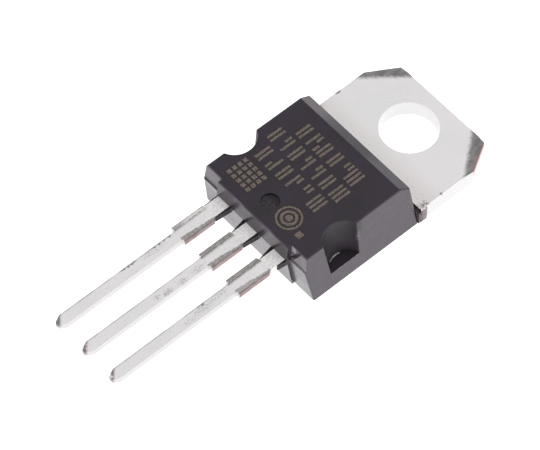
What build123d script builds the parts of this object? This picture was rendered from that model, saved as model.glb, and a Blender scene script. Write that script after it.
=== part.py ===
from build123d import *
import os
from math import radians, tan

# Darlington power transistor in a three-lead through-hole package with a bare metal tab.
#
# Frame: the origin is the centre of the mounting hole on the back face. +Y runs to the end of
# the tab, the leads leave towards -Y, and +Z points out of the marked face. The part lies on
# its back, which is the plane z = 0. The tab is laid out from the hole, and what is in and
# beyond the moulding from its parting edge at the lead end, where the leads come out.

# ---------------------------------------------------------------- whole part
overall_length = 28.92          # tab end to lead tips
package_height = 4.40           # back face to marked face

# ---------------------------------------------------------------- tab and heat sink
tab_width = 10.00
tab_thickness = 1.27            # thick gauge of the stamped frame
hole_diameter = 3.84
hole_to_tab_end = 2.82
shoulder_to_body = 0.16         # back edge of the wide tab, just clear of the moulding
corner_cut_width = 1.17         # corner cut, measured along X
corner_cut_length = 2.02        # corner cut, measured along Y
corner_band_end_width = 0.97    # pressed band beside each corner cut, along the tab's end
corner_band_side_width = 0.60   # and along the tab's side
corner_band_slope = 13.0        # degrees down from the upper face
tie_bar_stub_width = 0.06       # left standing where the strip's tie bar was sheared off
tie_bar_stub_length = 0.50
pad_side_cover = 0.38           # moulding beside the plate, at the back face
pad_end_to_lead_end = 1.97
neck_inset = 0.40               # the plate is this much narrower, each side, where it enters
neck_cover = 1.02               # length of the neck inside the moulding
lock_step_width = 0.32          # rebate round the pad's back that the moulding grips
lock_step_height = 0.42
stamped_edge_radius = 0.06      # rolled edge left by the blanking tool

# ---------------------------------------------------------------- moulded body
body_width = 9.96               # at the back face
side_draft = 0.44               # each side, over the full height
hole_to_body = 3.78             # far wall at the back face
far_wall_lean = 0.46            # from the back face up to the foot of the bevel
far_bevel_height = 0.55
far_bevel_length = 0.81
body_length = 9.19              # far wall to the parting edge of the nose
nose_margin = 0.66              # the middle of the lead end stands forward this far past the
                                # middle lines of the outer leads
nose_step = 0.19
upper_front_draft = 0.11        # parting edge back to the marked face
lower_front_draft = 0.47        # parting edge back to the back face
parting_ledge = 0.09            # up-facing ledge of the set-back corners at the parting edge
rim_radius = 0.16               # sides and lead end of the marked face
far_edge_radius = 0.09          # edges of the far wall and its bevel
lower_corner_radius = 0.12      # corners of the lead end below the parting edge

# Side pockets: half-round, tapered, down to a skin of moulding on the plate
pocket_axis_outset = 0.09       # axis outside the moulding's side, at the back face
pocket_top_radius = 1.42
pocket_floor_radius = 1.15
pocket_to_lead_end = 3.05       # axis at the marked face
pocket_lean = 0.25              # the axis at the floor is this much nearer to the tab
pocket_edge_radius = 0.06       # edges where the pocket opens through the side and the marked face
pocket_skin = 0.06              # moulding left on the plate at the pocket's floor
bare_plate_width = 0.12         # crescent of bare plate at the foot of the pocket's wall
bare_plate_curve = 1.60         # radius of the skin's edge along that crescent

# Ejector mark in the marked face
ejector_diameter = 1.22
ejector_depth = 0.10
ejector_to_lead_end = 1.51

# Gate scar across the upper half of the +X set-back corner of the lead end
gate_scar_width = 0.28
gate_scar_slant = 31.0          # degrees from upright, leaning outwards at the top
gate_scar_margin = 0.50         # from the nose's side to the middle of the scar
gate_scar_drop = 0.54           # from the marked face to the middle of the scar
gate_scar_length = 1.60

# ---------------------------------------------------------------- leads
lead_pitch = 2.54
lead_thickness = 0.50           # thin gauge of the stamped frame
lead_stand_height = 2.55        # back face to the underside of the leads
lead_root_width = 1.00          # between the moulding and the dam bar
root_length = 1.10
lead_stub_width = 1.28          # over the sheared dam bar
stub_taper = 0.14
stub_length = 2.53
lead_width = 0.78
stub_end_radius = 0.07
stub_roll_width = 0.27          # rolled upper edges of the stub
stub_roll_drop = 0.07
tip_length = 0.50
tip_width = 0.34
tip_thickness = 0.30
tip_corner_radius = 0.12

# How far the dam bar's punch and the trimming moved each lead's stub and shank along X
lead_shifts = {-1: (-0.01, 0.07), 0: (-0.03, 0.0), 1: (-0.10, -0.06)}

# Moulding flash beside the lead roots: (lead, side, thickness at the moulding, gap to the stub)
flash_webs = [
    (-1, -1, 0.10, 0.00), (-1, 1, 0.16, 0.00),
    (0, -1, 0.27, 0.00), (0, 1, 0.18, 0.00),
    (1, -1, 0.27, 0.00), (1, 1, 0.14, 0.48),
]
flash_end_thickness = 0.06
flash_top_gap = 0.03            # the flash stays this far below the lead's upper face

# Bonding paddles of the base and emitter leads, inside the moulding
paddle_length = 1.30
paddle_to_lead_end = 0.70       # moulding between the paddle and the parting edge
paddle_side_cover = 0.84        # moulding beside the paddle, measured at the back face
paddle_overhang = 0.70          # inner edge of the paddle past the lead's middle line
paddle_corner_radius = 0.25
collector_ramp_length = 0.95    # where the collector lead climbs from the plate

# ---------------------------------------------------------------- die, solder and bond wires
die_size = 3.00
die_thickness = 0.26
die_to_pad_end = 3.20           # middle of the die
solder_margin = 0.18
solder_thickness = 0.06
solder_edge_angle = 40.0        # degrees from upright
base_wire_diameter = 0.20
emitter_wire_diameter = 0.38
wire_foot_length = 0.55         # flattened foot at each end of a wire
wire_flat = 0.22                # share of the diameter pressed flat at a foot
wire_rise_share = 0.42          # loop height above the paddles, as a share of the cover there
wire_crest_share = 0.46         # place of the loop's crest along the wire
wire_foot_bend = 1.2            # bend radius at the feet, in wire diameters
wire_crest_bend = 2.2           # bend radius at the crest, in wire diameters
base_bond_x = -0.95             # bond on the die, from its centre
base_bond_y = -0.60
emitter_bond_x = 0.80
emitter_bond_y = -0.35

# ---------------------------------------------------------------- worked-out places
tab_end_y = hole_to_tab_end
tip_y = tab_end_y - overall_length
body_far_y = -hole_to_body
shoulder_y = body_far_y + shoulder_to_body
parting_y = body_far_y - body_length
parting_z = lead_stand_height + lead_thickness
stub_start_y = parting_y - root_length
stub_end_y = stub_start_y - stub_length
nose_width = 2 * (lead_pitch + nose_margin)
pad_width = body_width - 2 * pad_side_cover
neck_width = pad_width - 2 * neck_inset
pad_end_y = parting_y + pad_end_to_lead_end
paddle_tip_y = parting_y + paddle_to_lead_end
collector_inner_y = (parting_y + paddle_tip_y) / 2      # where the ramp's strip meets the straight lead
paddle_inner_x = lead_pitch - paddle_overhang
paddle_outer_x = body_width / 2 - paddle_side_cover
die_y = pad_end_y + die_to_pad_end
die_top_z = tab_thickness + solder_thickness + die_thickness
reach = 4 * overall_length      # longer than anything it cuts


def face_of(points):
    return make_face(Polyline(*points, close=True))


def slab(points, z_low, z_high):
    """Plan outline, extruded from z_low to z_high."""
    return Pos(0, 0, z_low) * extrude(face_of(points), amount=z_high - z_low)


def across(points, half_width):
    """Side outline given as (y, z), extruded both ways along X."""
    return extrude(Plane.YZ * face_of(points), amount=half_width, both=True)


def along(points, half_length):
    """End outline given as (x, z), extruded both ways along Y."""
    return extrude(Plane.XZ * face_of(points), amount=half_length, both=True)


def mirrored(points):
    """Closes a half outline, given from one end to the other on the +X side."""
    return points + [(-x, y) for x, y in reversed(points)]


# ---------------------------------------------------------------- leads
def lead_outline(inner_y, stub_shift, shank_shift):
    """Plan outline of one lead, from inside the moulding to its tip, about the lead's middle line."""
    outline = []
    for side in (1, -1):
        root = side * lead_root_width / 2
        stub = stub_shift + side * lead_stub_width / 2
        shank = shank_shift + side * lead_width / 2
        tip = shank_shift + side * tip_width / 2
        edge = [
            (root, inner_y), (root, stub_start_y), (stub, stub_start_y - stub_taper), (stub, stub_end_y),
            (shank, stub_end_y), (shank, tip_y + tip_length), (tip, tip_y),
        ]
        outline += edge[::side]
    return outline


def straight_lead(lead, inner_y):
    """A straight lead at its real height, centred on x = 0."""
    stub_shift, shank_shift = lead_shifts[lead]
    low, high = lead_stand_height, lead_stand_height + lead_thickness
    strip = slab(lead_outline(inner_y, stub_shift, shank_shift), low, high)
    uprights = strip.edges().filter_by(Axis.Z)
    stub_corners = uprights.filter_by(
        lambda edge: abs(edge.center().Y - stub_end_y) < stub_end_radius
        and abs(abs(edge.center().X - shank_shift) - lead_width / 2) < stub_end_radius
    )
    strip = fillet(stub_corners, stub_end_radius)
    strip = fillet(strip.edges().filter_by(Axis.Z).sort_by(Axis.Y)[:2], tip_corner_radius)
    strip -= Pos(stub_shift, 0, 0) * rolled_edges()
    bevel = (lead_thickness - tip_thickness) / 2
    tip_start_y = tip_y + tip_length
    envelope = across(
        [
            (inner_y, low), (inner_y, high), (tip_start_y, high),
            (tip_y, high - bevel), (tip_y, low + bevel), (tip_start_y, low),
        ],
        lead_stub_width,
    )
    return strip & envelope


def rolled_edges():
    """The two slivers that the shear rolled off the upper edges of the stub."""
    half, high = lead_stub_width / 2, lead_stand_height + lead_thickness
    profile = [(half - stub_roll_width, high), (half, high), (half, high - stub_roll_drop)]
    sliver = extrude(Plane.XZ * face_of(profile), amount=stub_start_y - stub_taper - stub_end_y)
    sliver = Pos(0, stub_start_y - stub_taper, 0) * sliver
    return sliver + mirror(sliver, Plane.YZ)


def paddle_place(side):
    """Middle of a bonding paddle's upper face."""
    return Vector(side * (paddle_inner_x + paddle_outer_x) / 2, paddle_tip_y + paddle_length / 2, parting_z)


def signal_lead(side):
    """Base lead (side -1) or emitter lead (side +1), with its bonding paddle."""
    lead = Pos(side * lead_pitch, 0, 0) * straight_lead(side, paddle_tip_y)
    paddle = Box(paddle_outer_x - paddle_inner_x, paddle_length, lead_thickness)
    paddle = fillet(paddle.edges().filter_by(Axis.Z), paddle_corner_radius)
    return lead + Pos(paddle_place(side)) * Pos(0, 0, -lead_thickness / 2) * paddle


# ---------------------------------------------------------------- heat sink with the collector lead
def tab_outline():
    half = tab_width / 2
    return mirrored([
        (half - corner_cut_width, tab_end_y),
        (half, tab_end_y - corner_cut_length),
        (half, shoulder_y + tie_bar_stub_length),
        (half + tie_bar_stub_width, shoulder_y + tie_bar_stub_length),
        (half + tie_bar_stub_width, shoulder_y),
    ])


def pad_outline(inset=0.0):
    half, neck = pad_width / 2 - inset, neck_width / 2
    pad_start_y = body_far_y - neck_cover
    return mirrored([
        (neck, shoulder_y + neck_cover),
        (neck, pad_start_y),
        (half, pad_start_y - (half - neck)),
        (half, pad_end_y + inset),
    ])


def corner_band():
    """Wedge that presses the upper face down beside the +X corner cut."""
    half = tab_width / 2
    at_end = Vector(half - corner_cut_width - corner_band_end_width, tab_end_y, tab_thickness)
    at_side = Vector(half, tab_end_y - corner_cut_length - corner_band_side_width, tab_thickness)
    run = (at_side - at_end).normalized()
    section = Plane(origin=at_end - run * tab_width, x_dir=Vector(0, 0, 1).cross(run), z_dir=run)
    slope = tan(radians(corner_band_slope))
    wedge = face_of([(0, 0), (tab_width, 0), (tab_width, -tab_width * slope)])
    return extrude(section * wedge, amount=3 * tab_width)


def collector_ramp():
    """The collector lead from the plate up to its own height, as one bent strip."""
    low, high = lead_stand_height, lead_stand_height + lead_thickness
    top_y = pad_end_y - collector_ramp_length
    bend = lead_thickness / 2       # the upper face bends this much behind the lower one
    strip = across(
        [
            (pad_end_y + lead_thickness, tab_thickness),
            (pad_end_y + lead_thickness, tab_thickness - lead_thickness),
            (pad_end_y, tab_thickness - lead_thickness), (top_y, low), (collector_inner_y, low),
            (collector_inner_y, high), (top_y + bend, high), (pad_end_y + bend, tab_thickness),
        ],
        lead_root_width / 2,
    )
    bends = strip.edges().filter_by(Axis.X).filter_by(
        lambda edge: top_y - bend < edge.center().Y < top_y + 2 * bend
    )
    return fillet(bends, bend)


def heat_sink():
    """Tab, plate and collector lead: one stamped and bent piece of dual-gauge strip."""
    plate = slab(tab_outline(), 0, tab_thickness)
    rims = plate.faces().sort_by(Axis.Z)[-1].edges()
    plate = fillet(rims, stamped_edge_radius)
    band = corner_band()
    plate -= band + mirror(band, Plane.YZ)
    plate += slab(pad_outline(), lock_step_height, tab_thickness)
    plate += slab(pad_outline(lock_step_width), 0, lock_step_height)
    plate -= Pos(0, 0, tab_thickness / 2) * Cylinder(hole_diameter / 2, 2 * tab_thickness)
    return plate + collector_ramp() + straight_lead(0, collector_inner_y)


# ---------------------------------------------------------------- die, solder and bond wires
def solder_layer():
    size = die_size + 2 * solder_margin
    base = Pos(0, die_y, tab_thickness) * Rectangle(size, size)
    return extrude(base, amount=solder_thickness, taper=solder_edge_angle)


def die():
    return Pos(0, die_y, die_top_z - die_thickness / 2) * Box(die_size, die_size, die_thickness)


def bond_wire(diameter, bond_x, bond_y, side):
    """Wire from the die to a paddle, in one upright plane, lying flat at both ends."""
    sink = diameter * (0.5 - wire_flat)
    start = Vector(bond_x, die_y + bond_y, die_top_z + sink)
    end = paddle_place(side) + Vector(0, 0, sink)
    level = Vector(end.X - start.X, end.Y - start.Y, 0)
    span = level.length
    crest = parting_z + wire_rise_share * (package_height - parting_z)
    route = FilletPolyline(
        (0, start.Z), (wire_foot_length, start.Z), (wire_crest_share * span, crest),
        (span - wire_foot_length, end.Z), (span, end.Z),
        radius=[bend * diameter for bend in (wire_foot_bend, wire_crest_bend, wire_foot_bend)],
    )
    forward = level.normalized()
    upright = Plane(origin=(start.X, start.Y, 0), x_dir=forward, z_dir=forward.cross(Vector(0, 0, 1)))
    path = upright * route
    return sweep(Plane(origin=path @ 0, z_dir=path % 0) * Circle(diameter / 2), path=path)


def trimmed(wire, *seats):
    """Presses the wire's feet flat on what they are bonded to."""
    for seat in seats:
        wire -= seat
    return wire


# ---------------------------------------------------------------- moulded body
def body_profile(upper_front, lower_front):
    """Side outline of the moulding as (y, z), with the place of each mould half's lead end."""
    far_foot_y = body_far_y - far_wall_lean
    ledge = [(lower_front, parting_z)] if lower_front != upper_front else []
    return [
        (body_far_y, 0), (far_foot_y, package_height - far_bevel_height),
        (far_foot_y - far_bevel_length, package_height),
        (upper_front + upper_front_draft, package_height), (upper_front, parting_z), *ledge,
        (lower_front + lower_front_draft, 0),
    ]


def side_pocket():
    """Tapered half-round pocket of the +X side, down to a skin of moulding on the plate."""
    rise = package_height - tab_thickness
    spread = pocket_top_radius - pocket_floor_radius
    axis_x = body_width / 2 + pocket_axis_outset
    floor_y = parting_y + pocket_to_lead_end + pocket_lean
    floor = Pos(axis_x, floor_y, tab_thickness) * Circle(pocket_floor_radius)
    top = Pos(axis_x, floor_y - 2 * pocket_lean, tab_thickness + 2 * rise)
    pocket = loft([floor, top * Circle(pocket_floor_radius + 2 * spread)])
    skin_x = axis_x - pocket_floor_radius + bare_plate_width + bare_plate_curve
    skin = Pos(skin_x, floor_y, tab_thickness + pocket_skin / 2) * Cylinder(bare_plate_curve, pocket_skin)
    return pocket - skin


def gate_scar():
    """Slanted V groove where the gate was broken off."""
    section = gate_scar_width / 2**0.5
    groove = Rot(0, 0, 45) * Box(section, section, gate_scar_length)
    front = parting_y + nose_step + parting_ledge + upper_front_draft / 2
    place = Pos(nose_width / 2 + gate_scar_margin, front, package_height - gate_scar_drop)
    return place * Rot(0, gate_scar_slant, 0) * groove


def flash_web(lead, side, thickness, gap):
    """Thin web of moulding beside a lead root, left when the dam bar was sheared off."""
    edge = lead_pitch * lead + side * lead_root_width / 2
    inner_y, end_y = parting_y + nose_step, stub_start_y + gap
    outline = [
        (edge, inner_y), (edge + side * thickness, inner_y), (edge + side * thickness, parting_y),
        (edge + side * flash_end_thickness, end_y), (edge, end_y),
    ]
    return slab(outline, lead_stand_height, parting_z - flash_top_gap)


def outer_form():
    """Drafted block of the moulding with its stepped lead end and rounded edges."""
    half = body_width / 2
    corner_y = parting_y + nose_step
    corners = across(body_profile(corner_y + parting_ledge, corner_y), half)
    nose = across(body_profile(parting_y, parting_y), nose_width / 2)
    ends = [(-half, 0), (half, 0), (half - side_draft, package_height), (side_draft - half, package_height)]
    block = (corners + nose) & along(ends, reach)
    block = fillet(block.edges().filter_by(is_rim), rim_radius)
    block = fillet(block.edges().filter_by(is_far_edge), far_edge_radius)
    return fillet(block.edges().filter_by(is_lower_corner), lower_corner_radius)


def is_rim(edge):
    """True for the sides and the lead end of the marked face."""
    place = edge.center()
    far_rim_y = body_far_y - far_wall_lean - far_bevel_length
    return place.Z > package_height - far_edge_radius and place.Y < far_rim_y - far_edge_radius


def is_far_edge(edge):
    """True for the edges of the far wall and its bevel, up to the marked face."""
    place = edge.center()
    far_rim_y = body_far_y - far_wall_lean - far_bevel_length
    return place.Y > far_rim_y - far_edge_radius and place.Z > far_edge_radius


def is_lower_corner(edge):
    """True for the two corners of the lead end below the parting edge."""
    place = edge.center()
    size = edge.bounding_box().size
    return place.Y < parting_y + body_length / 2 and abs(place.X) > nose_width / 2 + nose_step \
        and place.Z < parting_z and size.Z > parting_z / 2


def is_pocket_upright(edge):
    """True for the edges where a pocket opens through the moulding's side."""
    place = edge.center()
    rise = abs(edge.position_at(1).Z - edge.position_at(0).Z)
    side_x = body_width / 2 - side_draft * place.Z / package_height
    pocket_y = parting_y + pocket_to_lead_end
    on_side = abs(abs(place.X) - side_x) < pocket_edge_radius
    return on_side and rise > package_height / 2 and abs(place.Y - pocket_y) < 2 * pocket_top_radius


def moulding_blank():
    """The moulding before anything embedded is taken out of it."""
    blank = outer_form()
    pocket = side_pocket()
    blank -= pocket + mirror(pocket, Plane.YZ)
    blank = fillet(blank.edges().filter_by(is_pocket_upright), pocket_edge_radius)
    blank -= gate_scar()
    ejector_y = parting_y + ejector_to_lead_end
    ejector = Pos(0, ejector_y, package_height) * Cylinder(ejector_diameter / 2, 2 * ejector_depth)
    return blank - ejector


def moulded_body(embedded):
    body = moulding_blank()
    for web in flash_webs:
        body += flash_web(*web)
    for piece in embedded:
        body -= piece
    return body


def build():
    sink = heat_sink()
    base = signal_lead(-1)
    emitter = signal_lead(1)
    chip = die()
    solder = solder_layer()
    base_wire = bond_wire(base_wire_diameter, base_bond_x, base_bond_y, -1)
    emitter_wire = bond_wire(emitter_wire_diameter, emitter_bond_x, emitter_bond_y, 1)
    pieces = {
        "heat_sink": sink,
        "base_lead": base,
        "emitter_lead": emitter,
        "darlington_die": chip,
        "die_solder": solder,
        "base_bond_wire": trimmed(base_wire, chip, base),
        "emitter_bond_wire": trimmed(emitter_wire, chip, emitter),
    }
    pieces["moulded_body"] = moulded_body(list(pieces.values()))
    return pieces


os.makedirs("parts", exist_ok=True)
for name, shape in build().items():
    export_step(shape, f"parts/{name}.step")
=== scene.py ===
import math
import random

import bmesh
import bpy
from mathutils import Matrix, Vector


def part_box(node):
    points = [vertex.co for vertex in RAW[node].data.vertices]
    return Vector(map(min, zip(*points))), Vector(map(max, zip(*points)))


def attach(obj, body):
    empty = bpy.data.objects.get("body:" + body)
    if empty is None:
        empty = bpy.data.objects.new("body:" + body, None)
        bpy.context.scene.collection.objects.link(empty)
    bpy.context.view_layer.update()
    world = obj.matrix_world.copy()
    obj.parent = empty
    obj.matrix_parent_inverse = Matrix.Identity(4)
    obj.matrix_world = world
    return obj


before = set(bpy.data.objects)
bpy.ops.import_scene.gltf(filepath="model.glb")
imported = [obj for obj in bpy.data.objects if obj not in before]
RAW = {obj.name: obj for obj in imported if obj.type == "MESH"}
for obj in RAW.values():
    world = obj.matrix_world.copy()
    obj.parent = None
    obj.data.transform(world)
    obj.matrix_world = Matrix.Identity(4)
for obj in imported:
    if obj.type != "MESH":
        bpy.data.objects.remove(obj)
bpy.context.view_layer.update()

MM = 0.001
PER_METRE = 1 / MM

# ---------------------------------------------------------------- places on the part, all in mm
BODY_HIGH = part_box("moulded_body")[1] * PER_METRE
SINK_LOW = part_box("heat_sink")[0] * PER_METRE
LEAD_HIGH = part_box("base_lead")[1] * PER_METRE
MARKED_FACE_Z = BODY_HIGH.z
FAR_WALL_Y = BODY_HIGH.y                # the moulding's wall beside the tab
LEAD_TOP_Z = LEAD_HIGH.z
TIP_Y = SINK_LOW.y
TAB_TOP_Z = 1.27
LEAD_PITCH = 2.54
HALF_PITCH = LEAD_PITCH / 2
STUB_SHIFTS = (-0.01, -0.03, -0.10)     # base, collector and emitter, off their pitch lines
SHANK_SHIFTS = (0.07, 0.0, -0.06)
STUB_START_Y = -14.14
STUB_END_Y = -16.60
NOSE_Y = -12.97                         # the forward middle of the moulding's lead end
NOSE_HALF_WIDTH = 3.20
SHOULDER_GAP = 0.15                     # from the moulding's far wall to the tab's shoulder
POCKET_X, POCKET_Y = 5.07, -9.80        # axis of each pocket, on both sides
EJECTOR_Y = NOSE_Y + 1.51               # middle of the ejector pin's disc

# how steeply a face stands, as limits of its normal's share along an axis
SLANTING = (0.3, 0.5)
TURNED = (0.3, 0.6)
SQUARE_ON = (0.5, 0.7)
NEAR_MARKED_FACE = (3.9, 4.1)           # heights between which a pattern of the marked face sets in
RIGHT_OF_BASE = (-1.3, -1.2)            # between the base lead and the collector


# ---------------------------------------------------------------- node helpers
class Finish:
    """One material, with patterns laid out in millimetres on Object coordinates."""

    def __init__(self, name, colour, roughness, metallic=0.0):
        self.material = bpy.data.materials.new(name)
        self.material.use_nodes = True
        self.tree = self.material.node_tree
        self.shader = self.tree.nodes["Principled BSDF"]
        self.set(self.shader, "Base Color", (*colour, 1.0))
        self.set(self.shader, "Roughness", roughness)
        self.set(self.shader, "Metallic", metallic)
        self.coordinates = self.tree.nodes.new("ShaderNodeTexCoord")
        self.mm = self.scaled((PER_METRE,) * 3)
        split = self.tree.nodes.new("ShaderNodeSeparateXYZ")
        self.tree.links.new(self.mm, split.inputs[0])
        self.x, self.y, self.z = split.outputs
        facing = self.tree.nodes.new("ShaderNodeSeparateXYZ")
        self.tree.links.new(self.coordinates.outputs["Normal"], facing.inputs[0])
        self.facing_x, self.facing_y, self.facing_z = facing.outputs

    def set(self, node, socket, value):
        target = node.inputs[socket]
        if isinstance(value, bpy.types.NodeSocket):
            self.tree.links.new(value, target)
        else:
            target.default_value = value

    def colour(self, value):
        self.set(self.shader, "Base Color", value)

    def scaled(self, scale):
        """Object coordinates, scaled."""
        node = self.tree.nodes.new("ShaderNodeMapping")
        node.inputs["Scale"].default_value = scale
        self.tree.links.new(self.coordinates.outputs["Object"], node.inputs["Vector"])
        return node.outputs["Vector"]

    # arithmetic on numbers and masks
    def math(self, operation, *values):
        node = self.tree.nodes.new("ShaderNodeMath")
        node.operation = operation
        for index, value in enumerate(values):
            self.set(node, index, value)
        return node.outputs[0]

    def plus(self, value, added):
        return self.math("ADD", value, added)

    def less(self, value, taken):
        return self.math("SUBTRACT", value, taken)

    def times(self, value, factor):
        return self.math("MULTIPLY", value, factor)

    def size(self, value):
        """The value without its sign."""
        return self.math("ABSOLUTE", value)

    def other_than(self, mask):
        """1 where the mask is 0."""
        return self.math("SUBTRACT", 1.0, mask)

    def both(self, *masks):
        """1 where all the masks are 1."""
        product = masks[0]
        for mask in masks[1:]:
            product = self.times(product, mask)
        return product

    def either(self, *masks):
        """1 where any of the masks is 1."""
        highest = masks[0]
        for mask in masks[1:]:
            highest = self.math("MAXIMUM", highest, mask)
        return highest

    # masks
    def between(self, value, low, high, out_low=0.0, out_high=1.0):
        """Smooth step of value from low to high."""
        node = self.tree.nodes.new("ShaderNodeMapRange")
        node.interpolation_type = "SMOOTHSTEP"
        for socket, given in zip(
            ("Value", "From Min", "From Max", "To Min", "To Max"), (value, low, high, out_low, out_high)
        ):
            self.set(node, socket, given)
        return node.outputs["Result"]

    def under(self, value, low, high):
        """1 below low, falling to 0 at high."""
        return self.between(value, low, high, 1.0, 0.0)

    def band(self, value, low, high, soft):
        """1 between low and high, with soft edges."""
        rise = self.between(value, low - soft, low + soft)
        fall = self.under(value, high - soft, high + soft)
        return self.both(rise, fall)

    def box(self, x_range=None, y_range=None, z_range=None, soft=0.05):
        """1 inside the given ranges, with soft edges."""
        axes = ((self.x, x_range), (self.y, y_range), (self.z, z_range))
        return self.both(*(self.band(axis, *limits, soft) for axis, limits in axes if limits))

    def distance(self, x, y, stretch_y=1.0):
        """Distance on the plan from x, y."""
        away_x = self.less(self.x, x)
        away_y = self.times(self.less(self.y, y), stretch_y)
        return self.math("SQRT", self.plus(self.times(away_x, away_x), self.times(away_y, away_y)))

    def spot(self, x, y, radius, soft):
        """Round patch on the plan, centred at x, y."""
        return self.under(self.distance(x, y), radius - soft, radius + soft)

    def outboard(self, low, high):
        """1 on the part's two sides, further out than high."""
        return self.between(self.size(self.x), low, high)

    def upright(self, low=TURNED[0], high=TURNED[1]):
        """1 on walls, 0 on level faces."""
        return self.under(self.size(self.facing_z), low, high)

    # patterns
    def noise(self, grain_mm, detail=2.0, rough=0.5, stretch=(1.0, 1.0, 1.0)):
        """Smooth noise whose features are about grain_mm across, and longer where stretch is over 1."""
        node = self.tree.nodes.new("ShaderNodeTexNoise")
        along = self.mm if stretch == (1.0, 1.0, 1.0) else self.scaled([PER_METRE / s for s in stretch])
        self.set(node, "Vector", along)
        self.set(node, "Scale", 1 / grain_mm)
        self.set(node, "Detail", detail)
        self.set(node, "Roughness", rough)
        return node.outputs["Fac"]

    def patches(self, grain_mm, low, high, out_low=0.0, out_high=1.0, **texture):
        """Patches about grain_mm across, from out_low to out_high; a higher low leaves fewer."""
        return self.between(self.noise(grain_mm, **texture), low, high, out_low, out_high)

    def wander(self, grain_mm, reach, **texture):
        """A shift to both sides that changes over about grain_mm."""
        return self.times(self.less(self.noise(grain_mm, **texture), 0.5), reach)

    def blend(self, factor, low, high):
        """Colour low where factor is 0, high where it is 1."""
        node = self.tree.nodes.new("ShaderNodeMix")
        node.data_type = "RGBA"
        self.tree.links.new(factor, node.inputs[0])
        for index, colour in ((6, low), (7, high)):
            if isinstance(colour, tuple):
                node.inputs[index].default_value = (*colour, 1.0)
            else:
                self.tree.links.new(colour, node.inputs[index])
        return node.outputs[2]

    def bump(self, height, depth_mm, strength=1.0):
        node = self.tree.nodes.new("ShaderNodeBump")
        self.set(node, "Height", height)
        self.set(node, "Distance", depth_mm * MM)
        self.set(node, "Strength", strength)
        self.set(self.shader, "Normal", node.outputs["Normal"])


# ---------------------------------------------------------------- tin plate
# flank tones: the sheared flanks' duller finish, and painted shade on every upright face
TIN_FLANK_SHADE, TIN_LEAD_FLANK_SHADE = (0.62, 0.612, 0.612), (0.56, 0.548, 0.552)
# painted shade and painted glints for the bare crescents on the pocket floors
POCKET_SHADE, POCKET_PAINTED_GLINT = (0.03, 0.027, 0.03), (0.98, 0.97, 0.97)
POCKET_PAINTED_GLINT_Y = (POCKET_Y - 0.50, POCKET_Y + 0.42)


def tinned_finish():
    """Matte tin plate over copper, darker where it was pressed or sheared, with painted shade on its
    flanks, rolled edges and pocket floors and beside the moulding, and painted glints in the pockets.
    """
    f = Finish("tinned_copper_plate", (0.88, 0.86, 0.86), 0.30, metallic=1.0)
    flank = f.upright(0.25, 0.5)
    roots = f.box(y_range=(STUB_START_Y, NOSE_Y), soft=0.12)
    pocket_rim = f.both(f.outboard(3.3, 3.4), f.box(y_range=(-11.5, -8.2)), f.between(f.z, 0.1, 0.2))
    tone = plated_tone(f)
    # painted shade on the flanks, over their duller sheared finish
    side = f.blend(on_leads(f), TIN_FLANK_SHADE, TIN_LEAD_FLANK_SHADE)
    tone = f.blend(f.times(flank, 0.95), tone, side)
    tone = bright_roots(f, tone, roots)
    for layer in (
        lead_scuffs, chipped_edges, shank_edge_line, bruised_tips, pressed_corners,
        rolled_strips, sheared_stubs, sheared_cut, sheared_tie_bar, edge_nicks,
    ):
        tone = layer(f, tone)
    # painted shade over the pocket floors' bare crescents, streaked with painted glints
    streak = f.both(
        f.patches(0.20, 0.34, 0.50, 0.35, 1.0, detail=3.0, rough=0.6),
        f.band(f.y, *POCKET_PAINTED_GLINT_Y, 0.10),
    )
    f.colour(f.blend(pocket_rim, tone, f.blend(streak, POCKET_SHADE, POCKET_PAINTED_GLINT)))
    shaded = f.either(roots, pocket_rim)
    f.set(f.shader, "Metallic", f.between(shaded, 0.0, 1.0, 1.0, 0.30))
    roughness = f.patches(2.2, 0.3, 0.7, 0.25, 0.36, detail=3.0)
    f.set(f.shader, "Roughness", f.plus(roughness, f.times(shaded, 0.25)))
    grain = f.noise(0.09, detail=3.0, rough=0.6)
    sheared = f.noise(0.16, detail=3.0, rough=0.6, stretch=(1.0, 1.0, 3.0))
    f.bump(f.plus(grain, f.times(sheared, f.times(flank, 2.0))), 0.004, 0.6)
    return f.material


TIN_COOL, TIN_WARM = (0.895, 0.885, 0.882), (0.935, 0.900, 0.910)
TIN_MOULDING_SHADE, TIN_MOTTLED = (0.800, 0.760, 0.757), (0.78, 0.76, 0.765)
TIN_SPECK = (0.66, 0.645, 0.645)
TIN_GRANULAR, TIN_BRIGHT = (0.74, 0.72, 0.715), (0.97, 0.95, 0.95)


def plated_tone(f):
    """Pale plate, faintly warm and cool in patches, with painted shade beside the moulding."""
    tone = f.blend(f.patches(2.6, 0.38, 0.62), TIN_COOL, TIN_WARM)
    # painted shade on the tab's upper face near the moulding
    dull = f.both(f.under(f.y, -3.3, -1.3), f.between(f.y, -4.2, -3.8), f.between(f.facing_z, -0.3, 0.3))
    tone = f.blend(dull, tone, TIN_MOULDING_SHADE)
    mottle = f.patches(0.14, 0.25, 0.75, 0.0, 0.28, detail=3.0, rough=0.6)
    tone = f.blend(mottle, tone, TIN_MOTTLED)
    speck = f.patches(0.075, 0.60, 0.70, rough=0.6)
    return f.blend(f.both(speck, on_leads(f)), tone, TIN_SPECK)


def across_lead(f, shifts):
    """Place across the nearest lead, from the middle of its stub or its shank."""
    base, collector, emitter = shifts
    place = f.math("WRAP", f.x, HALF_PITCH, -HALF_PITCH)
    shift = f.between(f.x, -HALF_PITCH - 0.01, -HALF_PITCH + 0.01, base, collector)
    further = f.between(f.x, HALF_PITCH - 0.01, HALF_PITCH + 0.01, 0.0, emitter - collector)
    return f.less(place, f.plus(shift, further))


def on_leads(f):
    return f.under(f.y, NOSE_Y - 0.1, NOSE_Y)


def bright_roots(f, tone, roots):
    """Bright, granular tin next to the moulding."""
    grain = f.patches(0.10, 0.36, 0.62, detail=3.0, rough=0.7)
    return f.blend(roots, tone, f.blend(grain, TIN_GRANULAR, TIN_BRIGHT))


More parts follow.
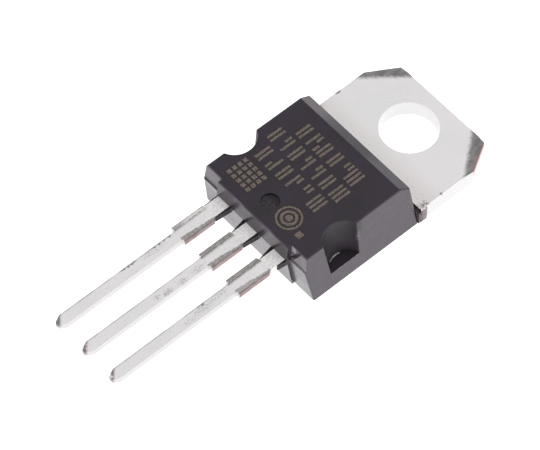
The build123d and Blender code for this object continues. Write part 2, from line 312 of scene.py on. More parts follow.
# x, y, half length, half width and depth of tone of each scuffed stretch
SCUFFED = (
    (-2.60, -18.60, 0.90, 0.22, 0.50),
    (0.10, -17.35, 0.55, 0.25, 0.65),
    (0.18, -18.55, 0.40, 0.22, 0.75),
    (0.17, -19.70, 0.42, 0.22, 0.95),
    (0.03, -20.47, 0.28, 0.18, 0.85),
    (2.30, -17.60, 0.70, 0.24, 0.60),
    (2.42, -18.90, 0.80, 0.24, 0.60),
    (2.58, -20.10, 0.50, 0.18, 0.50),
)
SCUFF, LIGHT_SCUFF = (0.30, 0.285, 0.29), (0.50, 0.485, 0.49)

# y range and lead of each chipped stretch of a shank's rolled edge; lead -1 is the base
CHIPPED = (
    ((-17.60, -16.95), -1),
    ((-18.65, -17.80), -1),
    ((-20.95, -19.75), -1),
    ((-19.10, -18.60), 1),
)
CHIP = (0.24, 0.225, 0.23)
ROLLED_EDGE_SHADE = (0.50, 0.485, 0.49)
BRUISE, BROWN_BRUISE = (0.26, 0.245, 0.25), (0.27, 0.215, 0.220)


def lead_scuffs(f, tone):
    """Scuffed stretches along the shanks, and light scuffing everywhere on them."""
    grain = f.noise(0.085, detail=4.0, rough=0.75, stretch=(1.0, 1.5, 1.0))
    scuff = f.between(grain, 0.47, 0.60)
    for x, y, half_length, half_width, depth in SCUFFED:
        away = f.math("DIVIDE", f.distance(x, y, stretch_y=half_width / half_length), half_width)
        tone = f.blend(f.both(f.between(away, 0.6, 1.15, depth, 0.0), scuff), tone, SCUFF)
    light = f.both(f.between(grain, 0.62, 0.70), on_leads(f))
    return f.blend(f.times(light, 0.5), tone, LIGHT_SCUFF)


def chipped_edges(f, tone):
    """Dark chips along the rolled edge of some shanks."""
    place = across_lead(f, SHANK_SHIFTS)
    ragged = f.wander(0.20, 0.75, detail=3.0, rough=0.7)
    upper = f.between(f.z, LEAD_TOP_Z - 0.35, LEAD_TOP_Z - 0.30)
    edge = f.both(f.under(f.plus(place, ragged), -0.30, -0.24), upper)
    for y_range, lead in CHIPPED:
        middle = lead * LEAD_PITCH
        stretch = f.box(x_range=(middle - 0.8, middle + 0.8), y_range=y_range, soft=0.10)
        tone = f.blend(f.both(edge, stretch), tone, CHIP)
    return tone


def shank_edge_line(f, tone):
    """Thin grey line of painted shade where the shear rolled one long edge of each shank."""
    place = across_lead(f, SHANK_SHIFTS)
    strength = f.patches(0.9, 0.35, 0.60, 0.25, 0.95, detail=3.0)
    line = f.both(f.under(place, -0.37, -0.24), strength, f.box(y_range=(TIP_Y, STUB_END_Y)))
    return f.blend(line, tone, ROLLED_EDGE_SHADE)


def bruised_tips(f, tone):
    """Bruises on one corner of each tip, browner on the collector and the emitter."""
    place = across_lead(f, SHANK_SHIFTS)
    towards_tip = f.plus(f.times(f.y, -1.0), f.times(place, -0.9))
    bruise = f.both(
        f.between(towards_tip, -TIP_Y - 0.42, -TIP_Y - 0.12),
        f.patches(0.22, 0.32, 0.50, detail=3.0),
    )
    return f.blend(bruise, tone, f.blend(f.between(f.x, -1.4, -1.2), BRUISE, BROWN_BRUISE))


# plan directions square to the corner cut and to the pressed band's inner edge
OUT_OF_CUT = (0.8654, 0.5012)
OUT_OF_BAND = (0.7745, 0.6326)
PRESSED_DARK, PRESSED_PALE = (0.205, 0.195, 0.20), (0.30, 0.29, 0.285)


def along(f, x_place, direction):
    """Place along a direction on the plan."""
    return f.plus(f.times(x_place, direction[0]), f.times(f.y, direction[1]))


def pressed_corners(f, tone):
    """Darker bands beside the tab's corner cuts, streaked along the cut."""
    from_cut = along(f, f.size(f.x), OUT_OF_BAND)
    ragged = f.times(f.noise(0.22, detail=4.0, rough=0.6), 0.34)
    band = f.both(
        f.between(f.plus(from_cut, ragged), 3.86, 4.24),
        f.between(f.facing_z, *TURNED),
        f.between(f.y, -0.6, -0.2),
    )
    streak = f.patches(0.25, 0.35, 0.65, detail=3.0, stretch=(1.5, 2.5, 1.0))
    return f.blend(band, tone, f.blend(streak, PRESSED_DARK, PRESSED_PALE))


ROLLED_SHADE_DARK, ROLLED_SHADE_GREY = (0.255, 0.235, 0.23), (0.46, 0.435, 0.425)
ROLLED_PALE, ROLLED_BRIGHT = (0.64, 0.62, 0.62), (0.76, 0.74, 0.74)
ROLLED_OUTLINE_SHADE = (0.17, 0.155, 0.15)
STUB_EDGE = (0.58, 0.61)                # half width of a stub, where its outline sets in


def rolled_strips(f, tone):
    """Grey, speckled strips of painted shade where the shear rolled the stubs, with paler lines beside some
    and a dark outline of painted shade at the stubs' edges.
    """
    place = across_lead(f, STUB_SHIFTS)
    width = f.size(place)
    on_stub = f.both(
        f.box(y_range=(STUB_END_Y - 0.1, STUB_START_Y + 0.05)),
        f.between(f.facing_z, *SQUARE_ON),
    )
    ragged = f.wander(0.18, 0.22, detail=3.0, rough=0.6)
    narrowing = f.between(f.y, STUB_END_Y, STUB_START_Y, 0.30, 0.46)
    from_plus = f.less(place, f.plus(narrowing, ragged))
    on_base = f.under(f.x, -HALF_PITCH - 0.05, -HALF_PITCH)
    on_emitter = f.between(f.x, HALF_PITCH, HALF_PITCH + 0.05)
    inner = f.between(on_base, 0.0, 1.0, -0.275, -0.31)
    from_minus = f.less(f.plus(f.times(ragged, 0.6), inner), place)
    speckle = f.patches(0.10, 0.34, 0.62, detail=3.0, rough=0.7, stretch=(1.0, 2.2, 1.0))
    # painted shade of the rolled facets, speckled
    grey = f.blend(speckle, ROLLED_SHADE_DARK, ROLLED_SHADE_GREY)
    pale = f.either(
        f.both(on_base, f.between(from_minus, -0.02, 0.02), f.between(f.y, -16.3, -15.4, 0.25, 1.0)),
        f.both(on_emitter, f.between(from_plus, 0.0, 0.04), f.between(width, 0.46, 0.54, 0.40, 0.15)),
    )
    grey = f.blend(pale, grey, f.blend(on_base, ROLLED_PALE, ROLLED_BRIGHT))
    strip = f.both(f.either(f.between(from_plus, -0.05, 0.07), f.between(from_minus, -0.16, 0.07)), on_stub)
    tone = f.blend(strip, tone, grey)
    dashes = f.patches(0.22, 0.42, 0.50, stretch=(1.0, 1.6, 1.0))
    # painted shade outlining the stubs' edges
    outline = f.either(
        f.between(width, *STUB_EDGE),
        f.times(f.band(from_minus, 0.02, 0.07, 0.02), f.between(dashes, 0.0, 1.0, 0.2, 1.0)),
        f.times(f.band(from_plus, 0.01, 0.04, 0.02), 0.6),
    )
    broken = f.patches(0.35, 0.36, 0.52, 0.35, 1.0, detail=3.0)
    return f.blend(f.both(outline, on_stub, broken), tone, ROLLED_OUTLINE_SHADE)


# smeared tin over copper on a sheared face, above and below the copper line
UPPER_SMEAR = (0.175, 0.130, 0.130), (0.27, 0.215, 0.215)
LOWER_SMEAR = (0.21, 0.140, 0.145), (0.33, 0.240, 0.245)
BARE_COPPER = (0.30, 0.085, 0.088), (0.36, 0.160, 0.160)
COPPER_DEPTH = (0.29, 0.37)             # of the copper line, below the lead's upper face


def sheared_stubs(f, tone):
    """Bare copper in a thin line through smeared tin where the dam bar was sheared off."""
    outward = f.between(f.size(f.facing_x), 0.6, 0.9)
    stub = f.both(f.box(y_range=(STUB_END_Y, STUB_START_Y - 0.05), soft=0.03), outward)
    smear = f.patches(0.14, 0.36, 0.62, detail=3.0, rough=0.6, stretch=(1.0, 4.0, 1.0))
    side = f.blend(smear, *UPPER_SMEAR)
    depth = f.less(LEAD_TOP_Z, f.z)
    side = f.blend(f.between(depth, 0.22, 0.28), side, f.blend(smear, *LOWER_SMEAR))
    bare = f.either(f.between(f.x, *RIGHT_OF_BASE), f.between(f.y, -15.6, -15.1, 1.0, 0.15))
    wavy_depth = f.plus(depth, f.wander(0.8, 0.10))
    in_copper = f.both(f.band(wavy_depth, *COPPER_DEPTH, 0.03), bare)
    side = f.blend(in_copper, side, f.blend(smear, *BARE_COPPER))
    return f.blend(stub, tone, side)


CUT_RUBBED = (0.33, 0.215, 0.20)
CUT_PINK, CUT_FAINT = (0.43, 0.245, 0.245), (0.58, 0.45, 0.45)
CUT_COPPER = (0.30, 0.125, 0.130)


def sheared_cut(f, tone):
    """Copper showing along the upper edge of one corner cut, streaked down its face."""
    broken = f.patches(0.35, 0.32, 0.50, 0.45, 1.0, detail=3.0)
    rubbed = f.both(f.between(along(f, f.x, OUT_OF_CUT), 4.56, 4.70), f.between(f.y, 0.3, 0.6), broken)
    tone = f.blend(f.both(rubbed, f.between(f.facing_z, *SQUARE_ON)), tone, CUT_RUBBED)
    cut = f.both(
        f.between(f.facing_x, *SQUARE_ON),
        f.between(f.facing_y, *SLANTING),
        f.under(f.facing_z, *SQUARE_ON),
        f.between(f.y, 0.6, 0.8),
    )
    streak = f.wander(0.14, 0.9, detail=3.0, rough=0.6, stretch=(1.0, 1.0, 4.0))
    depth = f.plus(f.less(TAB_TOP_Z, f.z), f.math("MAXIMUM", streak, -0.12))
    faint = f.both(cut, f.under(depth, 0.60, 1.05))
    tone = f.blend(faint, tone, f.blend(f.between(depth, 0.35, 0.80), CUT_PINK, CUT_FAINT))
    line = f.both(cut, f.under(depth, 0.26, 0.40), broken)
    return f.blend(line, tone, CUT_COPPER)


TIE_BAR_END = (-3.85, -3.10)            # y range of the sheared face
TIE_BAR_DARK, TIE_BAR_PALE = (0.150, 0.115, 0.125), (0.240, 0.200, 0.210)
TIE_BAR_SHADE = (0.085, 0.066, 0.070)
CRUMB, GLINT = (0.20, 0.185, 0.185), (1.0, 0.99, 0.98)


def sheared_tie_bar(f, tone):
    """Dull, rough face where the strip's tie bar was sheared off the shoulder, with painted shade towards
    the moulding and painted glints among crumbs on the corner beside it.
    """
    reach = f.less(f.size(f.x), f.times(f.noise(0.15, detail=3.0, rough=0.6), 0.14))
    end = f.both(f.between(reach, 4.76, 4.82), f.box(y_range=TIE_BAR_END, soft=0.03))
    dull = f.blend(f.patches(0.22, 0.35, 0.65, detail=3.0, rough=0.6), TIE_BAR_DARK, TIE_BAR_PALE)
    # painted shade on the sheared face where it meets the moulding
    dull = f.blend(f.between(f.y, -3.66, -3.30), TIE_BAR_SHADE, dull)
    tone = f.blend(f.both(end, f.upright()), tone, dull)
    corner = f.both(f.between(reach, 4.30, 4.75), f.box(y_range=(-3.70, -2.90), soft=0.12))
    upper_corner = f.both(corner, f.between(f.facing_z, *TURNED))
    grain = f.noise(0.13, detail=3.0, rough=0.7)
    tone = f.blend(f.both(upper_corner, f.between(grain, 0.48, 0.56)), tone, CRUMB)
    # painted glints on the crumbled corner
    return f.blend(f.both(upper_corner, f.under(grain, 0.34, 0.40)), tone, GLINT)


# x, y and radius of each nick in the tab's edges
NICKS = ((-4.95, -1.50, 0.16), (4.92, -1.85, 0.10))
NICK, EDGE_SPECK = (0.16, 0.155, 0.155), (0.42, 0.41, 0.41)


def edge_nicks(f, tone):
    """Dark nicks in the tab's edges and faint specks beside the moulding."""
    ragged = f.times(f.noise(0.12), 0.10)
    on_top = f.between(f.z, TAB_TOP_Z - 0.25, TAB_TOP_Z - 0.12)
    for x, y, radius in NICKS:
        away = f.plus(f.distance(x, y, stretch_y=0.6), ragged)
        nick = f.both(f.between(away, radius - 0.02, radius + 0.05, 0.8, 0.0), on_top)
        tone = f.blend(nick, tone, NICK)
    near_edge = f.both(
        f.outboard(4.2, 4.9),
        f.box(y_range=(-3.6, 0.2), soft=0.4),
        f.patches(0.10, 0.64, 0.72, detail=1.0),
    )
    near_body = f.both(f.box(y_range=(-3.85, -2.6), soft=0.35), f.patches(0.11, 0.62, 0.70, detail=1.0))
    specks = f.both(f.either(near_edge, near_body), on_top)
    return f.blend(f.times(specks, 0.45), tone, EDGE_SPECK)


# ---------------------------------------------------------------- moulding compound
EPOXY_COOL, EPOXY_WARM = (0.0115, 0.0108, 0.0118), (0.0180, 0.0135, 0.0215)
EPOXY_SPECK = (0.085, 0.080, 0.085)
WALL_PAINTED_LIGHT = (0.042, 0.0350, 0.0430)
POCKET_WALL_SHADE_LOW, POCKET_WALL_SHADE_HIGH = (0.022, 0.018, 0.022), (0.0020, 0.0015, 0.0025)
FLASH_WEB_SHADE = (0.006, 0.005, 0.0045)
POCKET_REACH = (1.46, 1.52)             # from the pocket's axis to just outside its wall


def epoxy_finish():
    """Black moulding compound, matt from the spark-eroded mould, with painted light on its upright faces.
    """
    f = Finish("black_moulding_epoxy", (0.014, 0.0125, 0.016), 0.26)
    f.set(f.shader, "Specular Tint", (0.96, 0.84, 1.0, 1.0))
    cloud = f.noise(1.8, detail=3.0)
    tone = f.blend(f.between(cloud, 0.3, 0.7), EPOXY_COOL, EPOXY_WARM)
    tone = f.blend(f.times(f.patches(0.10, 0.70, 0.76, detail=1.0), 0.30), tone, EPOXY_SPECK)
    upright = f.upright()
    in_pocket = pocket_walls(f)
    outside = f.other_than(in_pocket)
    tone, dull_bevel = far_bevel(f, tone)
    # painted light on the upright faces, in patches
    painted_light_patches = f.patches(0.6, 0.30, 0.70, 0.55, 1.0, detail=4.0, rough=0.6)
    fine = f.patches(0.12, 0.3, 0.7, 0.85, 1.0, stretch=(1.0, 1.0, 3.0))
    tone = f.blend(f.both(upright, painted_light_patches, fine, outside), tone, WALL_PAINTED_LIGHT)
    # painted shade on the pockets' walls, graded with height
    wall = f.blend(f.between(f.z, 1.4, 3.2), POCKET_WALL_SHADE_LOW, POCKET_WALL_SHADE_HIGH)
    tone = f.blend(f.both(upright, in_pocket), tone, wall)
    tone = lead_end_painted_light(f, tone, f.both(painted_light_patches, outside))
    tone = rubbed_edges(f, tone, upright)
    tone = ejector_disc(f, tone)
    # flash webs beside the leads, painted near black as painted shade where the leads enter the moulding
    flash = f.either(
        f.under(f.y, NOSE_Y - 0.06, NOSE_Y - 0.02),
        f.between(f.y, FAR_WALL_Y, FAR_WALL_Y + 0.02),
    )
    f.colour(f.blend(flash, tone, FLASH_WEB_SHADE))
    ejector = f.both(f.spot(0.0, EJECTOR_Y, 0.58, 0.03), f.between(f.z, *NEAR_MARKED_FACE))
    matt = f.either(
        f.times(f.either(ejector, in_pocket), 0.25),
        f.times(flash, 0.3),
        f.times(dull_bevel, 0.15),
    )
    f.set(f.shader, "Roughness", f.plus(f.between(cloud, 0.3, 0.7, 0.22, 0.30), matt))
    grain = f.noise(0.07, rough=0.6)
    rasped = f.noise(0.12, detail=3.0, rough=0.7, stretch=(1.0, 2.5, 1.0))
    f.bump(f.plus(grain, f.times(rasped, f.times(ejector, 6.0))), 0.003, 0.5)
    return f.material


def pocket_walls(f):
    """1 within the two half-round pockets, without the side faces they open through."""
    from_axis = f.math("SQRT", f.plus(
        f.math("POWER", f.less(f.size(f.x), POCKET_X), 2.0),
        f.math("POWER", f.less(f.y, POCKET_Y), 2.0),
    ))
    side_face = f.both(f.between(f.size(f.facing_x), 0.985, 0.995), f.outboard(4.2, 4.4))
    return f.both(f.under(from_axis, *POCKET_REACH), f.other_than(side_face))


BEVEL_LIGHTER, BEVEL_PAINTED_SHADE = (0.060, 0.050, 0.052), (0.003, 0.0022, 0.0022)


def far_bevel(f, tone):
    """Bevel above the far wall: lighter towards the base side, with painted shade and duller in its middle.
    """
    on_bevel = f.both(f.band(f.facing_z, 0.35, 0.92, 0.03), f.between(f.facing_y, *SLANTING))
    lighter_side = f.both(on_bevel, f.under(f.x, -3.4, -2.0))
    middle = f.both(on_bevel, f.band(f.x, -1.7, 1.5, 0.8))
    tone = f.blend(lighter_side, tone, BEVEL_LIGHTER)
    return f.blend(middle, tone, BEVEL_PAINTED_SHADE), middle


RASPED_DARK_AND_SHADE, RASPED_GREY = (0.0010, 0.0010, 0.0010), (0.034, 0.030, 0.033)
RASPED_SPECK = (0.10, 0.095, 0.09)


def ejector_disc(f, tone):
    """Dark, rasped disc with painted shade deepest at its far side, and a few pale specks."""
    disc = f.both(f.spot(0.0, EJECTOR_Y, 0.60, 0.05), f.between(f.z, *NEAR_MARKED_FACE))
    rasped = f.patches(0.10, 0.40, 0.64, detail=3.0, rough=0.7, stretch=(1.0, 2.5, 1.0))
    # painted shade of the disc's far wall, deepening towards its far side
    rasped = f.less(rasped, f.between(f.y, EJECTOR_Y - 0.10, EJECTOR_Y + 0.50))
    dark = f.blend(rasped, RASPED_DARK_AND_SHADE, RASPED_GREY)
    speck = f.both(f.patches(0.09, 0.66, 0.72, detail=1.0), f.spot(0.1, EJECTOR_Y - 0.1, 0.35, 0.1))
    return f.blend(disc, tone, f.blend(speck, dark, RASPED_SPECK))


RUBBED_LOW, RUBBED_MOUTH = (0.16, 0.15, 0.155), (0.17, 0.16, 0.165)
DARK_BESIDE_POCKET, BURR = (0.002, 0.0015, 0.002), (0.10, 0.092, 0.10)
MOUTH_Y = (-10.80, -8.55)               # y range of the pocket's mouth in the side face


def rubbed_edges(f, tone, upright):
    """Pale rub along the lowest edges and the pockets' mouths, a darker strip and a burr beyond them."""
    broken = f.patches(0.25, 0.46, 0.60, detail=4.0, rough=0.7)
    low = f.both(upright, f.under(f.z, 0.05, 0.14), broken)
    tone = f.blend(f.times(low, 0.7), tone, RUBBED_LOW)
    mouth = f.both(
        f.outboard(4.80, 4.86),
        f.box(y_range=MOUTH_Y, z_range=(TAB_TOP_Z - 0.03, TAB_TOP_Z + 0.08), soft=0.02),
        broken,
    )
    tone = f.blend(f.times(mouth, 0.6), tone, RUBBED_MOUTH)
    beyond = f.less(f.y, POCKET_Y)
    from_edge = f.less(beyond, f.between(f.z, TAB_TOP_Z, MARKED_FACE_Z, 1.15, 1.40))
    darker_strip = f.both(
        upright,
        f.outboard(4.2, 4.4),
        f.between(from_edge, 0.0, 0.45, 0.95, 0.0),
        f.between(beyond, 0.9, 1.0),
        f.between(f.z, 3.0, 3.7),
    )
    # near-black strip on the side face beside each pocket's far edge
    tone = f.blend(darker_strip, tone, DARK_BESIDE_POCKET)
    burr = f.both(
        upright,
        f.between(f.x, 4.2, 4.4),
        f.band(beyond, 1.20, 1.42, 0.06),
        f.band(f.z, 2.6, 3.4, 0.10),
        f.patches(0.16, 0.42, 0.58, 0.2, 0.8, detail=3.0, rough=0.6),
    )
    return f.blend(burr, tone, BURR)


CORNER_PAINTED_LIGHT, UPPER_PAINTED_LIGHT, LOWER_PAINTED_LIGHT = (0.12, 0.110, 0.121), (0.092, 0.080, 0.096), (0.097, 0.088, 0.095)
OVER_LEAD_BROWN, LOWER_LEFT_DARK = (0.024, 0.021, 0.019), (0.022, 0.018, 0.020)
BY_SCAR_PAINTED_LIGHT = (0.25, 0.235, 0.255)
LEDGE_PAINTED_GREY, LEDGE_PAINTED_PALE = (0.13, 0.12, 0.13), (0.33, 0.31, 0.33)


def lead_end_painted_light(f, tone, painted_light_patches):
    """Painted light on the lead end, browner and with less of it over each lead."""
    lead_end = f.under(f.facing_y, -0.85, -0.6)
    past_nose = f.less(f.size(f.x), NOSE_HALF_WIDTH)
    # painted light on the lead end's corners
    tone = f.blend(f.both(lead_end, f.between(past_nose, -0.02, 0.06), painted_light_patches), tone, CORNER_PAINTED_LIGHT)
    beside = f.size(f.math("WRAP", f.x, HALF_PITCH, -HALF_PITCH))
    over_lead = f.both(
        f.under(beside, 0.45, 0.95),
        f.under(past_nose, -0.10, 0.0),
        f.band(f.z, LEAD_TOP_Z, MARKED_FACE_Z - 0.25, 0.15),
        lead_end,
    )
    over_lead = f.times(over_lead, f.between(f.x, *RIGHT_OF_BASE, 0.20, 0.55))
    tone = f.blend(over_lead, tone, OVER_LEAD_BROWN)
    upper = f.both(lead_end, f.between(beside, 0.5, 1.1), f.between(f.z, 3.6, 4.2), painted_light_patches)
    # painted light high on the lead end between the leads
    tone = f.blend(f.times(upper, 0.9), tone, UPPER_PAINTED_LIGHT)
    by_scar = f.both(lead_end, f.box(x_range=(3.26, 3.62), z_range=(3.92, 4.34), soft=0.04))
    # painted light beside the gate scar
    tone = f.blend(by_scar, tone, BY_SCAR_PAINTED_LIGHT)
    below_leads = f.under(f.z, LEAD_TOP_Z - 0.1, LEAD_TOP_Z)
    # painted light below the leads
    tone = f.blend(f.both(lead_end, below_leads, painted_light_patches), tone, LOWER_PAINTED_LIGHT)
    lower_left = f.both(lead_end, f.under(f.x, -3.3, -3.2), f.under(f.z, 2.05, 2.75))
    tone = f.blend(lower_left, tone, LOWER_LEFT_DARK)
    ledge = f.both(
        f.between(past_nose, 0.05, 0.12),
        f.box(y_range=(NOSE_Y, NOSE_Y + 0.9), z_range=(2.3, 3.3)),
        f.between(f.facing_z, *TURNED),
    )
    patchy = f.patches(0.5, 0.35, 0.6, 0.5, 1.0)
    grey = f.blend(f.between(f.x, -1.0, 1.0), LEDGE_PAINTED_GREY, LEDGE_PAINTED_PALE)
    # painted light on the parting ledge
    return f.blend(f.both(ledge, patchy), tone, grey)


# ---------------------------------------------------------------- other finishes
def simple_metal(name, colour, roughness, grain_mm):
    """Plain metal with a faint, fine grain."""
    f = Finish(name, colour, roughness, metallic=1.0)
    darker = tuple(channel * 0.8 for channel in colour)
    f.colour(f.blend(f.noise(grain_mm), darker, colour))
    f.bump(f.noise(grain_mm / 4), grain_mm / 60, 0.5)
    return f.material


def mark_finish():
    """Laser mark: the epoxy's surface burned to a dusty tan, with dark specks."""
    f = Finish("laser_burned_epoxy", (0.17, 0.14, 0.12), 0.8)
    dust = f.noise(0.09, detail=3.0, rough=0.65)
    tan = f.blend(f.patches(1.0, 0.36, 0.64), (0.185, 0.156, 0.120), (0.200, 0.150, 0.142))
    f.colour(f.blend(f.between(dust, 0.38, 0.58), (0.052, 0.038, 0.032), tan))
    f.bump(dust, 0.006, 0.6)
    return f.material


def scorch_finish():
    """Edge of a laser stroke, scorched darker than the moulding round it."""
    f = Finish("scorched_epoxy", (0.008, 0.006, 0.005), 0.6)
    soot = f.patches(0.12, 0.35, 0.65, detail=3.0)
    f.colour(f.blend(soot, (0.002, 0.0015, 0.001), (0.016, 0.012, 0.010)))
    f.bump(f.noise(0.08), 0.003, 0.5)
    return f.material


TORN_SHADE_DARK, TORN_SHADE_BROWN = (0.018, 0.014, 0.015), (0.095, 0.074, 0.080)
TORN_RUBBED = (0.21, 0.172, 0.182)


def flash_shade_finish():
    """Thin moulding flash, dull and torn, coloured near black as painted shade, rubbed paler on its outer
    end.
    """
    f = Finish("torn_epoxy_flash_shade", (0.012, 0.010, 0.010), 0.9)
    f.set(f.shader, "Specular IOR Level", 0.12)
    # painted shade: the flash is coloured near black
    dark = f.blend(f.patches(0.12, 0.35, 0.65, detail=3.0, rough=0.7), TORN_SHADE_DARK, TORN_SHADE_BROWN)
    rubbed = f.both(
        f.between(f.size(f.facing_x), *SQUARE_ON),
        f.between(f.less(f.y, FAR_WALL_Y), 0.03, 0.08),
        f.under(f.z, 0.85, 1.05),
    )
    f.colour(f.blend(rubbed, dark, TORN_RUBBED))
    f.bump(f.noise(0.07), 0.004, 0.6)
    return f.material


TINNED = tinned_finish()
EPOXY = epoxy_finish()
FLASH = flash_shade_finish()
BURNED = mark_finish()
SCORCHED = scorch_finish()
NODE_FINISH = {
    "heat_sink": TINNED,
    "base_lead": TINNED,
    "emitter_lead": TINNED,
    "moulded_body": EPOXY,
    "darlington_die": simple_metal("silicon_grey", (0.16, 0.17, 0.20), 0.25, 0.6),
    "die_solder": simple_metal("soft_solder", (0.55, 0.55, 0.56), 0.45, 0.3),
    "base_bond_wire": simple_metal("thin_aluminium_wire", (0.80, 0.80, 0.81), 0.35, 0.2),
    "emitter_bond_wire": simple_metal("heavy_aluminium_wire", (0.80, 0.80, 0.81), 0.38, 0.3),
}


def dress_cad_nodes():
    for name, finish in NODE_FINISH.items():
        mesh = RAW[name].data
        mesh.materials.clear()
        mesh.materials.append(finish)


# ---------------------------------------------------------------- laser mark
STROKE = 0.17                   # width of a laser stroke
BURN_HEIGHT = 0.008             # how far the burned surface stands up
SCORCH_HEIGHT = 0.003           # how far the scorched edge stands up
SCORCH_WIDTH = 0.035            # how far the scorched edge reaches past a stroke
RAGGED = 0.014                  # how far a stroke's outline wanders
PULSE = 0.12                    # from one laser pulse to the next
CELL_PITCH = 0.93               # from one group of strokes to the next
BAR_PITCH = 0.31                # from one bar to the next in a group
SHORT_BAR = 0.46                # of a full bar's length
# far edge, near edge, left end and groups of each row
CODE_ROWS = (
    (-5.93, -7.08, -2.62, 6),
    (-7.38, -8.54, -3.58, 7),
    (-8.85, -10.02, -3.02, 6),
)
DOT, DOT_PITCH = 0.29, 0.43
DOT_COLUMNS, DOT_ROWS = 5, 4
FIRST_DOT = (-3.25, -10.60)
RING_CENTRE = (1.65, -11.40)
RINGS = ((0.86, 0.72), (0.56, 0.37), (0.24, 0.0))   # outer radius and hole of each
RING_FACETS = 48
LONE_SQUARE = 0.44
LONE_SQUARE_PLACE = (2.95, -11.75)


class Mark:
    """A burned shape and the scorched edge under it, raised together."""

    def __init__(self, seed):
        self.burned = bmesh.new()
        self.scorched = bmesh.new()
        self.dice = random.Random(seed)

    def stroke(self, width, length, x, y):
        """Adds one straight stroke with a slightly ragged outline."""
        for shape, extra in ((self.burned, 0.0), (self.scorched, 2 * SCORCH_WIDTH)):
            place = Matrix.Translation(Vector((x, y, MARKED_FACE_Z)) * MM)
            size = Matrix.Diagonal(((width + extra) * MM, (length + extra) * MM, 1.0, 1.0))
            steps = max(2, round(length / PULSE))
            outline = bmesh.ops.create_grid(
                shape, x_segments=2, y_segments=steps, size=0.5, matrix=place @ size
            )["verts"]
            self.roughen(outline)

    def disc(self, radius, x, y, hole=0.0):
        """Adds one disc, or a ring round a hole, with a slightly ragged outline."""
        for shape, extra in ((self.burned, 0.0), (self.scorched, SCORCH_WIDTH)):
            centre = Matrix.Translation(Vector((x, y, MARKED_FACE_Z)) * MM)
            outer = bmesh.ops.create_circle(
                shape,
                cap_ends=not hole,
                segments=RING_FACETS,
                radius=(radius + extra) * MM,
                matrix=centre,
            )["verts"]
            if hole:
                rim = list({edge for vert in outer for edge in vert.link_edges})
                grown = bmesh.ops.extrude_edge_only(shape, edges=rim)["geom"]
                inner = verts_of(grown)
                shrink = (hole - extra) / (radius + extra)
                bmesh.ops.scale(shape, verts=inner, vec=(shrink, shrink, 1.0), space=centre.inverted())
                outer = outer + inner
            self.roughen(outer)

    def roughen(self, outline):
        for vert in outline:
            vert.co.x += self.dice.uniform(-RAGGED, RAGGED) * MM
            vert.co.y += self.dice.uniform(-RAGGED, RAGGED) * MM

    def finished(self, name):
        """Raises both shapes off the marked face and makes them pieces."""
        for shape, height, piece_name, finish in (
            (self.burned, BURN_HEIGHT, name, BURNED),
            (self.scorched, SCORCH_HEIGHT, name + "_scorch", SCORCHED),
        ):
            raised = bmesh.ops.extrude_face_region(shape, geom=shape.faces[:])["geom"]
            bmesh.ops.translate(shape, verts=verts_of(raised), vec=(0.0, 0.0, height * MM))
            bmesh.ops.recalc_face_normals(shape, faces=shape.faces[:])
            finished_piece(piece_name, shape, finish)


def verts_of(geometry):
    return [item for item in geometry if isinstance(item, bmesh.types.BMVert)]


def new_object(name, shape, finish):
    """Object at the origin whose mesh is the shape."""
    mesh = bpy.data.meshes.new(name)
    shape.to_mesh(mesh)
    shape.free()
    mesh.materials.append(finish)
    piece = bpy.data.objects.new(name, mesh)
    bpy.context.scene.collection.objects.link(piece)
    return piece


def finished_piece(name, shape, finish):
    piece = new_object(name, shape, finish)
    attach(piece, "root")


def code_rows():
    """Three rows of plain bars, in groups, across the marked face."""
    mark = Mark(7)
    for far_y, near_y, left_x, groups in CODE_ROWS:
        full = far_y - near_y
        for group in range(groups):
            x = left_x + CELL_PITCH * group
            for bar in range(mark.dice.choice((2, 2, 3))):
                length = full * mark.dice.choice((1.0, 1.0, SHORT_BAR))
                middle = mark.dice.choice((near_y + length / 2, far_y - length / 2))
                mark.stroke(STROKE, length, x + BAR_PITCH * bar, middle)
    mark.finished("code_bars")


def dot_field():
    """Regular field of small squares in the marked face's lower left corner."""
    mark = Mark(11)
    left_x, far_y = FIRST_DOT
    for column in range(DOT_COLUMNS):
        for row in range(DOT_ROWS):
            mark.stroke(DOT, DOT, left_x + DOT_PITCH * column, far_y - DOT_PITCH * row)
    mark.finished("dot_field")


def ring_mark():
    """Two plain rings round a disc, and one plain square beside them."""
    mark = Mark(13)
    for radius, hole in RINGS:
        mark.disc(radius, *RING_CENTRE, hole=hole)
    mark.stroke(LONE_SQUARE, LONE_SQUARE, *LONE_SQUARE_PLACE)
    mark.finished("ring_mark")


# ---------------------------------------------------------------- moulding flash
FLASH_X, FLASH_WIDTH = 4.61, 0.86       # middle and width, on both sides
FLASH_HEIGHT = 1.15
FLASH_CUTS = 5                          # along each edge, so that the flash can be ragged
TORN_ABOVE = 0.9                        # height from which its upper end is torn
TORN_UP, TORN_SIDEWAYS = 0.02, 0.015    # how far the torn end and the whole flash wander
FLASH_TUCK = 0.14                       # how far its upper edge reaches back under the leaning wall


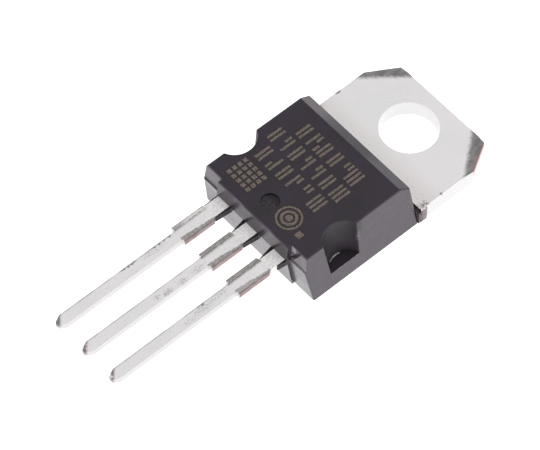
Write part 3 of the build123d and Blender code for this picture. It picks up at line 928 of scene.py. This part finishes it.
def shoulder_flash_shade_block():
    """Moulding flash squeezed between the moulding's far wall and the tab's shoulders, dark so that it also
    stands in for the gap's shade.
    """
    shape = bmesh.new()
    dice = random.Random(17)
    middle_y = FAR_WALL_Y + SHOULDER_GAP / 2
    for side in (-1, 1):
        place = Matrix.Translation(Vector((side * FLASH_X, middle_y, FLASH_HEIGHT / 2)) * MM)
        size = Matrix.Diagonal((FLASH_WIDTH * MM, SHOULDER_GAP * MM, FLASH_HEIGHT * MM, 1.0))
        block = bmesh.ops.create_cube(shape, size=1.0, matrix=place @ size)["verts"]
        upper = [vert for vert in block if vert.co.z > FLASH_HEIGHT / 2 * MM]
        rear_top = [vert for vert in upper if vert.co.y < middle_y * MM]
        bmesh.ops.translate(shape, verts=rear_top, vec=(0.0, -FLASH_TUCK * MM, 0.0))
    bmesh.ops.subdivide_edges(shape, edges=shape.edges[:], cuts=FLASH_CUTS, use_grid_fill=True)
    for vert in shape.verts:
        if vert.co.z > TORN_ABOVE * MM:
            vert.co.z += dice.uniform(-TORN_UP, TORN_UP) * MM
        vert.co.x += dice.uniform(-TORN_SIDEWAYS, TORN_SIDEWAYS) * MM
    bmesh.ops.recalc_face_normals(shape, faces=shape.faces[:])
    finished_piece("shoulder_flash_shade_block", shape, FLASH)


# ---------------------------------------------------------------- camera, light and floor
CAMERA_TARGET = (-0.4068, -11.1169, 1.0)
CAMERA_AZIMUTH, CAMERA_ELEVATION = 48.7015, 56.7664
CAMERA_DISTANCE = 217.80
FOCAL_LENGTH, SENSOR_WIDTH = 238.2, 36.0
DIMMEST_WAY = (-0.41, 0.36, 0.84)       # towards the tent's least bright part
TENT_BRIGHT, TENT_DIM = 1.35, 0.80
TABLE_HALF_WIDTH = 0.6                  # in metres
TABLE_GREY, TABLE_GLOW = 0.25, 1.25
WHITE = (1.0, 1.0, 1.0, 1.0)


def camera():
    scene = bpy.context.scene
    lens = bpy.data.cameras.new("camera")
    lens.lens = FOCAL_LENGTH
    lens.sensor_width = SENSOR_WIDTH
    lens.clip_start = 0.01
    lens.clip_end = 10.0
    stand = bpy.data.objects.new("camera", lens)
    scene.collection.objects.link(stand)
    azimuth, elevation = math.radians(CAMERA_AZIMUTH), math.radians(CAMERA_ELEVATION)
    back = Vector((
        math.sin(azimuth) * math.cos(elevation),
        -math.cos(azimuth) * math.cos(elevation),
        math.sin(elevation),
    ))
    stand.location = Vector(CAMERA_TARGET) * MM + back * (CAMERA_DISTANCE * MM)
    stand.rotation_mode = "QUATERNION"
    stand.rotation_quaternion = (-back).to_track_quat("-Z", "Y")
    scene.camera = stand
    scene.view_settings.view_transform = "Standard"


def light_tent():
    """White tent round the part, less bright high up at the back."""
    world = bpy.data.worlds.new("light_tent")
    bpy.context.scene.world = world
    world.use_nodes = True
    tree = world.node_tree
    cloth = tree.nodes["Background"]
    cloth.inputs["Color"].default_value = WHITE
    direction = tree.nodes.new("ShaderNodeTexCoord")
    towards = tree.nodes.new("ShaderNodeVectorMath")
    towards.operation = "DOT_PRODUCT"
    towards.inputs[1].default_value = Vector(DIMMEST_WAY).normalized()
    tree.links.new(direction.outputs["Generated"], towards.inputs[0])
    level = tree.nodes.new("ShaderNodeMapRange")
    level.interpolation_type = "SMOOTHSTEP"
    level.inputs["From Min"].default_value = 0.0
    level.inputs["From Max"].default_value = 0.9
    level.inputs["To Min"].default_value = TENT_BRIGHT
    level.inputs["To Max"].default_value = TENT_DIM
    tree.links.new(towards.outputs["Value"], level.inputs["Value"])
    tree.links.new(level.outputs["Result"], cloth.inputs["Strength"])


def opal_glass():
    glass = bpy.data.materials.new("light_table")
    glass.use_nodes = True
    opal = glass.node_tree.nodes["Principled BSDF"]
    opal.inputs["Base Color"].default_value = (TABLE_GREY, TABLE_GREY, TABLE_GREY, 1.0)
    opal.inputs["Roughness"].default_value = 0.9
    opal.inputs["Specular IOR Level"].default_value = 0.0
    opal.inputs["Emission Color"].default_value = WHITE
    opal.inputs["Emission Strength"].default_value = TABLE_GLOW
    return glass


def light_table():
    """Pale floor, lit from within."""
    shape = bmesh.new()
    bmesh.ops.create_grid(shape, x_segments=1, y_segments=1, size=TABLE_HALF_WIDTH)
    piece = new_object("floor", shape, opal_glass())


dress_cad_nodes()
code_rows()
dot_field()
ring_mark()
shoulder_flash_shade_block()
camera()
light_tent()
light_table()
